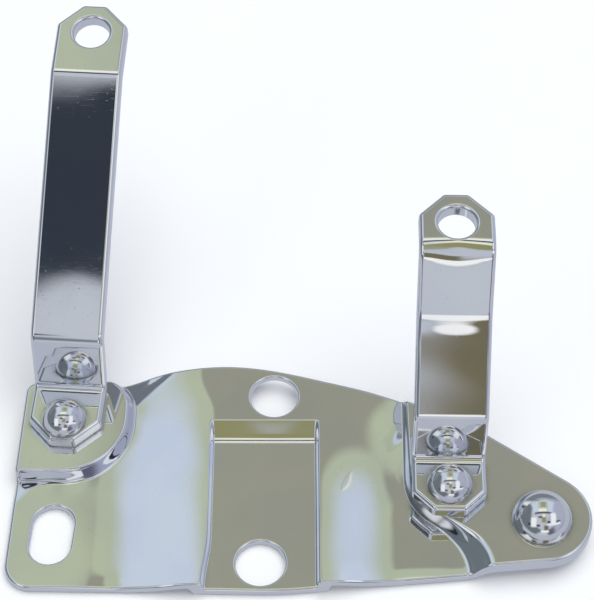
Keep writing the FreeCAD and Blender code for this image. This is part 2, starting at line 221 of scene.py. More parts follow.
def wing_z(x, y):
    """Height of the front surface of the wings, before the pad, the step and the channel."""
    spread = eased(y, CHANNEL_RAMP_END, MIDDLE_SPREAD_RUN)
    far_left = PLATE_T + (WING_TOP_Z - PLATE_T) * eased(y, *LEFT_RISE)
    t_left = past(LEFT_CREST - MIDDLE_SPREAD[0] * spread - x) / LEFT_WING_RUN
    start, end = LEFT_ROLL_X
    roll_left = LEFT_ROLL * eased(x, start[0], -start[1]) * (1.0 - eased(x, end[0], -end[1]))
    beyond = (y - CREASE_AT[1] - x + CREASE_AT[0]) * math.sqrt(0.5)
    far_right = VALLEY_Z + (TIP_Z - VALLEY_Z) * straight_rise(y, *RIGHT_RISE)
    t_right = past(x - RIGHT_CREST - MIDDLE_SPREAD[1] * spread) / RIGHT_WING_RUN
    roll_right = RIGHT_ROLL * eased(x, *RIGHT_ROLL_X)
    left = SEAT_Z + (far_left - SEAT_Z) * fall(t_left) - CREASE_DROP * ease(beyond / CREASE_RUN)
    right = SEAT_Z + (far_right - SEAT_Z) * fall(t_right)
    roll = np.where(x < 0.0, roll_left, roll_right) * eased(y, EDGE_ROLL[0], -EDGE_ROLL[1])
    return np.where(x < 0.0, left, right) - roll


def channel_flare(y):
    return CHANNEL_FLARE * eased(y, CHANNEL_FLARE_Y, -CHANNEL_FLARE_RUN)


def channel_mask(x, y, grow, grow_top, wall, ramp):
    """1 inside the channel, 0 outside it. grow widens it at each side and grow_top lengthens it;
    wall and ramp are the distances over which its sides and its upper end rise."""
    mask = 1.0 - ease((CHANNEL_LEFT - grow - channel_flare(y) - x) / wall)
    mask = mask * (1.0 - ease((x - CHANNEL_RIGHT - grow) / wall))
    t = np.clip((y - CHANNEL_TOP - grow_top) / ramp, 0.0, 1.0)
    fillet = RAMP_FILLET
    climb = np.where(t < fillet, t * t / (2.0 * fillet), t - fillet / 2.0) / (1.0 - fillet / 2.0)
    return mask * (1.0 - climb)


def solid_z(x, y):
    """Height of the front surface, all but the channel."""
    height = wing_z(x, y)
    height = height + (TIP_Z - height) * raised(x, y)
    return height + (PAD_Z - height) * ease(up_pad(x, y))


def front_z(x, y):
    """Height of the plate's front surface."""
    height = solid_z(x, y)
    mask = channel_mask(x, y, 0.0, 0.0, CHANNEL_WALL, CHANNEL_RAMP_END - CHANNEL_TOP)
    return height + (PLATE_T - height) * mask


def back_z(x, y):
    """Height of the plate's back surface, never below the mounting face."""
    height = solid_z(x, y) - PLATE_T - (TIP_T - PLATE_T) * raised(x, y)
    return np.maximum(height * (1.0 - channel_mask(x, y, CHANNEL_SKIN, RAMP_SKIN, 1.0, 1.0)), 0.0)


# ---- outlines, as loops of points that keep the material on their left
def arc_points(centre, radius, start_deg, end_deg, step):
    count = max(2, int(abs(math.radians(end_deg - start_deg)) * radius / step))
    angles = np.radians(np.linspace(start_deg, end_deg, count + 1))
    return np.stack([centre[0] + radius * np.cos(angles), centre[1] + radius * np.sin(angles)], 1)


def rounded_polygon(corners, radii, step):
    """Closed loop through the corners, each rounded with its own radius, with points step apart."""
    corners = [np.array(c, float) for c in corners]
    loop = []
    count = len(corners)
    for i, radius in enumerate(radii):
        before, corner, after = corners[i - 1], corners[i], corners[(i + 1) % count]
        u = (before - corner) / np.linalg.norm(before - corner)
        w = (after - corner) / np.linalg.norm(after - corner)
        half = math.acos(max(-1.0, min(1.0, float(u @ w)))) / 2.0
        if radius <= 0.0 or half > math.radians(89.5):
            loop.append(corner)
            continue
        reach = radius / math.tan(half)
        centre = corner + (u + w) / np.linalg.norm(u + w) * (radius / math.sin(half))
        first = corner + u * reach - centre
        last = corner + w * reach - centre
        start = math.atan2(first[1], first[0])
        turn = math.atan2(last[1], last[0]) - start
        turn = (turn + math.pi) % (2.0 * math.pi) - math.pi
        pieces = max(5, int(radius * abs(turn) / step))
        for k in range(pieces + 1):
            angle = start + turn * k / pieces
            loop.append(centre + radius * np.array([math.cos(angle), math.sin(angle)]))
    return respaced(np.array(loop), step)


def respaced(loop, step):
    """The same closed loop with long straight pieces broken up."""
    result = []
    for a, b in zip(loop, np.roll(loop, -1, axis=0)):
        length = np.linalg.norm(b - a)
        if length < 1e-6:
            continue
        pieces = max(1, int(round(length / step)))
        result += [a + (b - a) * k / pieces for k in range(pieces)]
    return np.array(result)


def spline(points, start, end, step):
    """A smooth curve through the points that leaves along start and arrives along end."""
    points = np.array(points, float)
    chord = np.linalg.norm(np.diff(points, axis=0), axis=1)
    count = len(points)
    matrix = np.zeros((count, count))
    target = np.zeros((count, 2))
    matrix[0, 0] = matrix[-1, -1] = 1.0
    target[0] = np.array(start) / np.linalg.norm(start)
    target[-1] = np.array(end) / np.linalg.norm(end)
    for i in range(1, count - 1):
        a, b = chord[i - 1], chord[i]
        matrix[i, i - 1:i + 2] = [b, 2.0 * (a + b), a]
        target[i] = 3.0 * (b * (points[i] - points[i - 1]) / a + a * (points[i + 1] - points[i]) / b)
    slopes = np.linalg.solve(matrix, target)
    result = []
    for i, length in enumerate(chord):
        pieces = int(length / step)
        for k in range(pieces):
            t = k / pieces
            result.append((2 * t ** 3 - 3 * t ** 2 + 1) * points[i]
                          + (3 * t ** 2 - 2 * t ** 3) * points[i + 1]
                          + length * ((t ** 3 - 2 * t ** 2 + t) * slopes[i]
                                      + (t ** 3 - t ** 2) * slopes[i + 1]))
    return result + [points[-1]]


def plate_outline(step):
    tip = arc_points(TIP_CENTRE, TIP_R, TIP_BOTTOM_DEG, TIP_TOP_DEG, step)
    top = [np.array(p) for p in reversed(TOP_CURVE)]
    curve = spline(top, top[0] - tip[-1], TOP_CURVE_END, step)
    corners = [curve[-1], (LEFT_X + EDGE_LEAN, TOP_LEFT_Y), (LEFT_X - EDGE_LEAN, BOTTOM_LEFT_Y),
               BOTTOM_MID, tip[0]]
    low = rounded_polygon(corners, [0.0, TOP_LEFT_R, BOTTOM_LEFT_R, LOWER_EDGE_R, 0.0], step)
    # the closing straight from the tip back to the curve isn't part of the outline
    first = int(np.argmin(np.linalg.norm(low - curve[-1], axis=1)))
    last = int(np.argmin(np.linalg.norm(low - tip[0], axis=1)))
    low = low[first + 1:last]
    gap = curve[0] - tip[-1]
    line = tip[-1] + gap * np.linspace(0.0, 1.0, int(np.linalg.norm(gap) / step))[1:-1, None]
    return np.concatenate([tip, line, np.array(curve), low])


def hole_loop(centre, diameter, count):
    angles = -np.linspace(0.0, 2.0 * math.pi, count, endpoint=False)
    radius = diameter / 2.0
    return np.stack([centre[0] + radius * np.cos(angles), centre[1] + radius * np.sin(angles)], 1)


def slot_loop(step):
    half = (SLOT_L - SLOT_W) / 2.0
    ends = [arc_points((0.0, half), SLOT_W / 2.0, 180.0, 0.0, step),
            arc_points((0.0, -half), SLOT_W / 2.0, 0.0, -180.0, step)]
    loop = respaced(np.concatenate(ends), step)
    lean = math.radians(-SLOT_LEAN_DEG)
    turn = np.array([[math.cos(lean), -math.sin(lean)], [math.sin(lean), math.cos(lean)]])
    return loop @ turn.T + np.array(SLOT_AT)


# ---- a slab with rounded rims from outline loops
TINY = 1e-12
BLOCK = 4000               # points measured at a time, to save memory
RIM_STEPS = 6
RIM_SHARE = 0.42           # the most that a rim takes of the gap to the next loop
SEAM_REACH = 0.45          # how far from a seam the dulled chrome, with its grime and painted contact shade, reaches
MERGED = 1e-7              # points closer than this are one point to the triangulation


def outward(loop):
    """Unit normals that point away from the material."""
    along = np.roll(loop, -1, axis=0) - np.roll(loop, 1, axis=0)
    along /= np.linalg.norm(along, axis=1)[:, None]
    return np.stack([along[:, 1], -along[:, 0]], 1)


def inside_loop(points, loop):
    """Which points are inside a closed loop."""
    inside = np.zeros(len(points), bool)
    for a, b in zip(loop, np.roll(loop, -1, axis=0)):
        crosses = (a[1] > points[:, 1]) != (b[1] > points[:, 1])
        rise = b[1] - a[1] if abs(b[1] - a[1]) > TINY else TINY
        at = a[0] + (points[:, 1] - a[1]) * (b[0] - a[0]) / rise
        inside ^= crosses & (points[:, 0] < at)
    return inside


def loop_distance(points, loop):
    """How far each point is from the nearest point of the loop."""
    result = np.zeros(len(points))
    for start in range(0, len(points), BLOCK):
        apart = points[start:start + BLOCK][:, None, :] - loop[None, :, :]
        result[start:start + BLOCK] = np.linalg.norm(apart, axis=2).min(axis=1)
    return result


def slab_mesh(name, loops, rims, front, back, fill, gap, seams):
    """Closed mesh of a sheet. front and back give positions for (a, b, depth below that face);
    rims has each loop's (rim inset, front drop, back drop); fill has the points inside, of which
    those nearer than gap to a loop are left out; seams gives how close a point of the front is to
    where another piece sits on it, from 0 to 1."""
    rings = []
    for number, (loop, (inset, front_drop, back_drop)) in enumerate(zip(loops, rims)):
        out = outward(loop)
        others = np.concatenate([other for i, other in enumerate(loops) if i != number])
        room = np.linalg.norm(loop[:, None, :] - others[None, :, :], axis=2).min(axis=1)
        inset = np.minimum(inset, room * RIM_SHARE)[:, None]
        stack = []
        for side, drop in ((front, front_drop), (back, back_drop)):
            order = range(RIM_STEPS + 1) if side is front else range(RIM_STEPS, -1, -1)
            for k in order:
                angle = math.pi / 2.0 * k / RIM_STEPS
                plan = loop - out * inset * (1.0 - math.sin(angle))
                stack.append((side, plan, drop * (1.0 - math.cos(angle)), angle, out))
        rings.append(stack)
    inner = [stack[0][1] for stack in rings]
    keep = inside_loop(fill, inner[0]) & (loop_distance(fill, inner[0]) > gap)
    for loop in inner[1:]:
        keep &= ~inside_loop(fill, loop) & (loop_distance(fill, loop) > gap)
    fill = fill[keep]
    plan = np.concatenate(inner + [fill])
    edges = []
    start = 0
    for loop in inner:
        edges += [(start + i, start + (i + 1) % len(loop)) for i in range(len(loop))]
        start += len(loop)
    verts, _, faces, origin, _, _ = delaunay_2d_cdt([Vector(p) for p in plan], edges, [], 0, MERGED)
    source = [ids[0] for ids in origin]
    centres = np.array([[sum(verts[i][k] for i in face) / 3.0 for k in (0, 1)] for face in faces])
    keep = inside_loop(centres, inner[0])
    for loop in inner[1:]:
        keep &= ~inside_loop(centres, loop)
    triangles = [[source[i] for i in face] for face, ok in zip(faces, keep) if ok]

    points, normals, rim_wear_and_highlight, seam = [], [], [], []
    ring_start = []

    def add(side, where, drop, angle, out):
        ring_start.append(sum(len(p) for p in points))
        spot = side(where[:, 0], where[:, 1], drop)
        step = 0.01
        along_a = side(where[:, 0] + step, where[:, 1], 0.0) - side(where[:, 0] - step, where[:, 1], 0.0)
        along_b = side(where[:, 0], where[:, 1] + step, 0.0) - side(where[:, 0], where[:, 1] - step, 0.0)
        up = np.cross(along_a, along_b)
        up /= np.linalg.norm(up, axis=1)[:, None]
        if side is back:
            up = -up
        if out is not None:
            away = out[:, :1] * along_a + out[:, 1:] * along_b
            away /= np.linalg.norm(away, axis=1)[:, None]
            up = math.cos(angle) * up + math.sin(angle) * away
            up /= np.linalg.norm(up, axis=1)[:, None]
        points.append(spot)
        normals.append(up)
        # how far round its rim a point is; the material lightens there with wear and a painted highlight
        rim_wear_and_highlight.append(np.full(len(where), math.sin(2.0 * angle)))
        seam.append(seams(where[:, 0], where[:, 1]) if side is front else np.zeros(len(where)))

    for stack in rings:
        for ring in stack:
            add(*ring)
    add(front, fill, 0.0, 0.0, None)
    add(back, fill, 0.0, 0.0, None)

    polygons = []
    ring_number = 0
    front_of, back_of = [], []
    for stack in rings:
        count = len(stack[0][1])
        front_of += [ring_start[ring_number] + i for i in range(count)]
        back_of += [ring_start[ring_number + len(stack) - 1] + i for i in range(count)]
        for k in range(len(stack) - 1):
            a, b = ring_start[ring_number + k], ring_start[ring_number + k + 1]
            for i in range(count):
                j = (i + 1) % count
                polygons.append((a + i, b + i, b + j, a + j))
        ring_number += len(stack)
    front_of += [ring_start[-2] + i for i in range(len(fill))]
    back_of += [ring_start[-1] + i for i in range(len(fill))]
    for triangle in triangles:
        polygons.append([front_of[i] for i in triangle])
        polygons.append([back_of[i] for i in reversed(triangle)])
    marks = {"edge": np.concatenate(rim_wear_and_highlight), "seam": np.concatenate(seam)}
    return make_object(name, np.concatenate(points), polygons, np.concatenate(normals), marks)


def make_object(name, points, polygons, normals, marks):
    """A mesh object; marks are named values per point, for its material."""
    mesh = bpy.data.meshes.new(name)
    mesh.from_pydata((points * MM).tolist(), [], polygons)
    mesh.validate()
    mesh.polygons.foreach_set("use_smooth", [True] * len(mesh.polygons))
    mesh.normals_split_custom_set_from_vertices(normals.tolist())
    for mark, values in marks.items():
        mesh.attributes.new(mark, "FLOAT", "POINT").data.foreach_set("value", values.tolist())
    mesh.update()
    result = bpy.data.objects.new(name, mesh)
    bpy.context.scene.collection.objects.link(result)
    return result


def grid_points(low, high, step):
    xs = np.arange(low[0], high[0], step)
    ys = np.arange(low[1], high[1], step)
    gx, gy = np.meshgrid(xs, ys)
    gx = gx + np.where(np.arange(len(ys)) % 2 == 1, step / 2.0, 0.0)[:, None]
    return np.stack([gx.ravel(), gy.ravel()], 1)


# ---- the plate
PLATE_STEP = 0.8           # between points of the plate's edge, and of its open areas
PLATE_GAP = 0.3
PLATE_LOW = (LEFT_X - 2.0, -33.0)
PLATE_HIGH = (TIP_CENTRE[0] + TIP_R, 37.0)
BOLT_POINTS = 72
SLOT_STEP = 0.6
PLATE_RIM = (0.8, 0.7, 0.3)
PLATE_HOLE_RIM = (0.6, 0.6, 0.3)
SLOW_WAVE = 0.05           # height of the pressed sheet's slow waves
DRAWN_WAVE = 0.04          # height of the quicker ones where the press drew the metal
PAD_FLAT_EDGE = 1.5        # over which the waves start outside the pad
BOLT_FLAT_EDGE = 6.0       # and round a bolt hole
ROW_GAP = 0.5              # between rows of points along a wall
ROWS_UP = np.linspace(-0.2, 1.2, 15)
ROWS_Y = (-35.0, 38.0)     # a little past the plate's lower and upper edges
ROW_SPARE = 0.4            # how far the channel's rows run past its walls and its ramp
ON_PAD_WALL = (-36.5, 20.0)          # where each wall's rows start
ON_STEP_WALL = (36.6, 0.0)


def plate_seams(x, y):
    """How close a point is to the edge of a foot or of the tip rivet's head."""
    tip = np.abs(np.hypot(x - TIP_RIVET_AT[0], y - TIP_RIVET_AT[1]) - TIP_RIVET_HEAD_D / 2.0)
    result = np.exp(-tip / SEAM_REACH)
    for arm in (LEFT_ARM, RIGHT_ARM):
        foot = loop_distance(np.stack([x, y], 1), foot_outline(arm))
        result = np.maximum(result, np.exp(-foot / SEAM_REACH))
    return result


def foot_outline(arm):
    """The edge of an arm's foot on the plate, in plan."""
    half, clip, length = BAR_W / 2.0, arm["foot_clip"], arm["foot"]
    lean = math.radians(arm["lean"])
    corners = [(-half, 0.0), (-half, clip - length), (clip - half, -length), (half - clip, -length),
               (half, clip - length), (half, 0.0)]
    loop = respaced(np.array(corners), 0.5)
    x = arm["bend"][0] + loop[:, 1] * math.sin(lean) + loop[:, 0] * math.cos(lean)
    y = arm["bend"][1] + loop[:, 1] * math.cos(lean) - loop[:, 0] * math.sin(lean)
    return np.stack([x, y], 1)


def uneven(x, y):
    """How far the pressed sheet is off its ideal front: slow waves, stronger where the press drew
    the metal round the pad and down the step."""
    slow = SLOW_WAVE * np.sin(x / 6.1 + 1.3 * np.sin(y / 9.0)) * np.cos(y / 7.3 + 0.8)
    quick = np.sin(x / 2.3 + 0.9 * np.sin(y / 3.1)) * np.cos(y / 2.7 - x / 5.0)
    foot = inside_step(x, y, STEP_FOOT)
    drawn = np.exp(-(foot / 5.0) ** 2) + np.exp(-((corner_distance(x, y) - 2.0) / 3.0) ** 2)
    return (slow + DRAWN_WAVE * quick * drawn) * (1.0 - raised(x, y))


def plate_front(x, y, drop):
    return np.stack([x, y, front_z(x, y) + uneven(x, y) * off_seats(x, y) - drop], 1)


def off_seats(x, y):
    """0 on the flats that carry a foot, a rivet head or a bolt, 1 well away from them."""
    pad = ease(corner_distance(x, y) / PAD_FLAT_EDGE)
    bolts = ease((np.minimum(np.hypot(x - UPPER_BOLT[0], y - UPPER_BOLT[1]),
                             np.hypot(x - LOWER_BOLT[0], y - LOWER_BOLT[1])) - BOLT_D / 2.0) / BOLT_FLAT_EDGE)
    return pad * bolts


def plate_back(x, y, drop):
    return np.stack([x, y, back_z(x, y) + drop], 1)


def wall_rows(up, start, away):
    """Points in rows along a curved wall. up is one of the functions above; the rows start near a
    point and first go the given way, until they leave the plate."""
    reach = 0.02
    point, way = np.array(start, float), np.array(away, float)
    points = []
    while LEFT_X - 3.0 < point[0] < TIP_CENTRE[0] and ROWS_Y[0] < point[1] < ROWS_Y[1]:
        for _ in range(3):          # onto the middle of the wall
            x, y = point
            slope = np.array([up(x + reach, y) - up(x - reach, y), up(x, y + reach) - up(x, y - reach)])
            slope = slope / (2.0 * reach)
            steep = np.linalg.norm(slope)
            point = point + slope * (0.5 - up(*point)) / steep ** 2
        points += [point + slope * (level - 0.5) / steep ** 2 for level in ROWS_UP]
        along = np.array([-slope[1], slope[0]]) / steep
        way = along if along @ way > 0.0 else -along
        point = point + way * ROW_GAP
    return np.array(points)


def on_wall(x, y):
    """The strips that the pad's and the step's own rows fill."""
    spare = 0.28
    pad, step = up_pad(x, y), up_step(x, y)
    return ((pad > -spare) & (pad < 1.0 + spare)) | ((step > -spare) & (step < 1.0 + spare))


def channel_rows():
    """Points in rows along the channel's two side walls and across its ramp."""
    steps_up = np.linspace(-0.15, 1.15, 12) * CHANNEL_WALL
    floor_rows = np.arange(BOTTOM_MID[1], CHANNEL_TOP - ROW_SPARE, ROW_GAP)
    ramp_rows = np.linspace(CHANNEL_TOP - ROW_SPARE, CHANNEL_RAMP_END + ROW_SPARE, 20)
    points = []
    for y in np.concatenate([floor_rows, ramp_rows]):
        left = CHANNEL_LEFT - float(channel_flare(y))
        points += [(left - up, y) for up in steps_up] + [(CHANNEL_RIGHT + up, y) for up in steps_up]
    for y in ramp_rows:
        xs = np.arange(CHANNEL_LEFT + PLATE_STEP, CHANNEL_RIGHT - ROW_SPARE, PLATE_STEP)
        points += [(x, y) for x in xs]
    return np.array(points)


def by_channel(x, y):
    """The strips that the channel's own rows fill."""
    half = CHANNEL_WALL / 2.0
    left = x - (CHANNEL_LEFT - channel_flare(y))
    right = CHANNEL_RIGHT - x
    walls = (np.abs(left + half) < half + ROW_SPARE) | (np.abs(right + half) < half + ROW_SPARE)
    walls &= y < CHANNEL_RAMP_END + ROW_SPARE
    ramp = (y > CHANNEL_TOP - 2.0 * ROW_SPARE) & (y < CHANNEL_RAMP_END + 2.0 * ROW_SPARE)
    return walls | (ramp & (left > 0.0) & (right > 0.0))


def make_plate():
    loops = [plate_outline(PLATE_STEP), hole_loop(UPPER_BOLT, BOLT_D, BOLT_POINTS),
             hole_loop(LOWER_BOLT, BOLT_D, BOLT_POINTS), slot_loop(SLOT_STEP)]
    rims = [PLATE_RIM, PLATE_HOLE_RIM, PLATE_HOLE_RIM, PLATE_HOLE_RIM]
    grid = grid_points(PLATE_LOW, PLATE_HIGH, PLATE_STEP)
    fill = [grid[~on_wall(*grid.T) & ~by_channel(*grid.T)], channel_rows()]
    for up, (x, y) in ((up_pad, ON_PAD_WALL), (up_step, ON_STEP_WALL)):
        fill += [wall_rows(up, (x, y), (0.0, 1.0)), wall_rows(up, (x, y - ROW_GAP), (0.0, -1.0))]
    return slab_mesh("plate", loops, rims, plate_front, plate_back, np.concatenate(fill), PLATE_GAP,
                     plate_seams)


# ---- the arms
BAR_CORNER_R = 1.5
BAR_STEP = 0.5             # between points of a bar's edge
BAR_ROW_GAP = 0.9          # between rows of points along a bar, at most
BAR_ROW_TURN = math.radians(7.0)     # between rows round a bend, at most
BAR_ROW_POINTS = 19
BAR_GAP = 0.35
BAR_RIM = (1.2, 1.2, 0.7)
TAB_HOLE_RIM = (1.0, 1.0, 0.4)
TAB_HOLE_POINTS = 60
RIVET_HOLE_RIM = (0.2, 0.2, 0.2)
RIVET_HOLE_POINTS = 40


def arm_path(arm):
    """Straights and bends of the visible side as (length, u, z, angle, turn), in order."""
    heading = 0.0
    rises = [0.0] + [math.radians(run[1]) for run in arm["runs"]]
    lengths = [arm["foot"]] + [run[0] for run in arm["runs"]]
    pieces = []
    u, z = -arm["foot"], BAR_T
    cut = 0.0
    for i, (length, rise) in enumerate(zip(lengths, rises)):
        turn = rises[i + 1] - rise if i + 1 < len(rises) else 0.0
        radius = 0.0
        if turn:
            radius = arm["runs"][i][2] if turn > 0.0 else arm["runs"][i][2] + BAR_T
        reach = radius * math.tan(abs(turn) / 2.0)
        straight = length - cut - reach
        pieces.append((straight, u, z, rise, 0.0))
        u += straight * math.cos(rise)
        z += straight * math.sin(rise)
        if turn:
            sign = 1.0 if turn > 0.0 else -1.0
            pieces.append((radius * abs(turn), u, z, rise, sign / radius))
            side = sign * radius
            u += side * (math.sin(rise + turn) - math.sin(rise))
            z += side * (math.cos(rise) - math.cos(rise + turn))
        cut = reach
    return pieces


def on_path(pieces, s):
    """Point (u, z) and angle of the visible side at each distance s from the foot's end."""
    starts = np.cumsum([0.0] + [p[0] for p in pieces[:-1]])
    which = np.clip(np.searchsorted(starts, s, side="right") - 1, 0, len(pieces) - 1)
    table = np.array(pieces)[which]
    t = s - starts[which]
    u0, z0, angle0, bend = table[:, 1], table[:, 2], table[:, 3], table[:, 4]
    angle = angle0 + bend * t
    straight = np.abs(bend) < 1e-9
    safe = np.where(straight, 1.0, bend)
    u = u0 + np.where(straight, t * np.cos(angle0), (np.sin(angle) - np.sin(angle0)) / safe)
    z = z0 + np.where(straight, t * np.sin(angle0), (np.cos(angle0) - np.cos(angle)) / safe)
    return u, z, angle


def make_arm(name, arm, shape):
    pieces = arm_path(arm)
    total = sum(p[0] for p in pieces)
    lean = math.radians(arm["lean"])
    half = BAR_W / 2.0

    def at(w, s, depth):
        u, z, angle = on_path(pieces, s)
        u = u + np.sin(angle) * depth
        z = z - np.cos(angle) * depth
        x = arm["bend"][0] + u * math.sin(lean) + w * math.cos(lean)
        y = arm["bend"][1] + u * math.cos(lean) - w * math.sin(lean)
        return np.stack([x, y, arm["foot_z"] + z], 1)

    def front(w, s, drop):
        return at(w, s, drop - shape(w / half, s))

    def back(w, s, drop):
        return at(w, s, BAR_T - drop)

    c = arm["foot_clip"]
    corners = [(-half + c, 0.0), (half - c, 0.0), (half, c), (half, total - CLIP), (half - CLIP, total),
               (-half + CLIP, total), (-half, total - CLIP), (-half, c)]
    loops = [rounded_polygon(corners, [BAR_CORNER_R] * len(corners), BAR_STEP),
             hole_loop((0.0, total - TAB_HOLE_IN), TAB_HOLE_D, TAB_HOLE_POINTS),
             hole_loop((0.0, arm["rivet_in"]), RIVET_D, RIVET_HOLE_POINTS)]
    rims = [BAR_RIM, TAB_HOLE_RIM, RIVET_HOLE_RIM]
    rows = []
    start = 0.0
    for length, _, _, _, bend in pieces:
        step = BAR_ROW_GAP if bend == 0.0 else min(BAR_ROW_GAP, BAR_ROW_TURN / abs(bend))
        count = max(1, int(math.ceil(length / step)))
        rows += [start + length * (k + 0.5) / count for k in range(count)]
        start += length
    across = np.linspace(-half, half, BAR_ROW_POINTS)
    fill = np.array([(w, s) for s in rows for w in across])

    def seams(w, s):
        ring = np.abs(np.hypot(w, s - arm["rivet_in"]) - RIVET_HEAD_D / 2.0)
        return np.exp(-ring / SEAM_REACH)

    return slab_mesh(name, loops, rims, front, back, fill, BAR_GAP, seams)


def rivet_at(arm):
    back = arm["foot"] - arm["rivet_in"]
    lean = math.radians(arm["lean"])
    return (arm["bend"][0] - back * math.sin(lean), arm["bend"][1] - back * math.cos(lean))


# ---- rivets
HEAD_STEPS = 32
TAIL_STEPS = 6
TAIL_ROUND = 0.8
ROUND_POINTS = 96


def make_rivet(name, at, head_z, tail_z, shank_d, head_d, head_h):
    """A turned solid: round head, shank and closed tail."""
    half, shank = head_d / 2.0, shank_d / 2.0
    tail = shank + TAIL_EXTRA_D / 2.0
    radius = (half * half + head_h * head_h) / (2.0 * head_h)
    centre = head_z + head_h - radius
    rim = math.atan2(head_z - centre, half)
    profile = []
    for k in range(HEAD_STEPS + 1):
        angle = math.pi / 2.0 + (rim - math.pi / 2.0) * k / HEAD_STEPS
        profile.append((radius * math.cos(angle), centre + radius * math.sin(angle),
                        math.cos(angle), math.sin(angle)))
    profile.append((half, head_z, 0.0, -1.0))
    profile.append((shank, head_z, 0.0, -1.0))
    profile.append((shank, head_z, 1.0, 0.0))
    profile.append((shank, tail_z, 1.0, 0.0))
    profile.append((shank, tail_z, 0.0, 1.0))
    profile.append((tail, tail_z, 0.0, 1.0))
    profile.append((tail, tail_z, 1.0, 0.0))
    for k in range(TAIL_STEPS + 1):
        angle = -math.pi / 2.0 * k / TAIL_STEPS
        profile.append((tail - TAIL_ROUND + TAIL_ROUND * math.cos(angle),
                        tail_z - TAIL_H + TAIL_ROUND + TAIL_ROUND * math.sin(angle),
                        math.cos(angle), math.sin(angle)))
    profile.append((0.0, tail_z - TAIL_H, 0.0, -1.0))
    count = ROUND_POINTS
    points, normals, polygons, seam = [], [], [], []
    for r, z, nr, nz in profile:
        seam += [math.exp(-abs(z - head_z) / SEAM_REACH)] * count
        for i in range(count):
            turn = 2.0 * math.pi * i / count
            points.append((at[0] + r * math.cos(turn), at[1] + r * math.sin(turn), z))
            normals.append((nr * math.cos(turn), nr * math.sin(turn), nz))
    for k in range(len(profile) - 1):
        for i in range(count):
            j = (i + 1) % count
            polygons.append((k * count + i, (k + 1) * count + i, (k + 1) * count + j, k * count + j))
    marks = {"edge": np.zeros(len(points)), "seam": np.array(seam)}
    return make_object(name, np.array(points), polygons, np.array(normals), marks)


# ---- chrome
# a lighter tint for rim wear and a painted highlight along every rounded rim
WORN_AND_HIGHLIGHT = (0.90, 0.91, 0.92)
SPECKED = (0.45, 0.44, 0.42)
# a dark tint for grime and painted contact shade along the seams where a foot or a rivet head sits
GRIME_AND_CONTACT_SHADE = (0.20, 0.19, 0.17)
# heights in metres
PEEL = 0.00000035
HAIRLINE = 0.00000012
SPECK = 0.000001


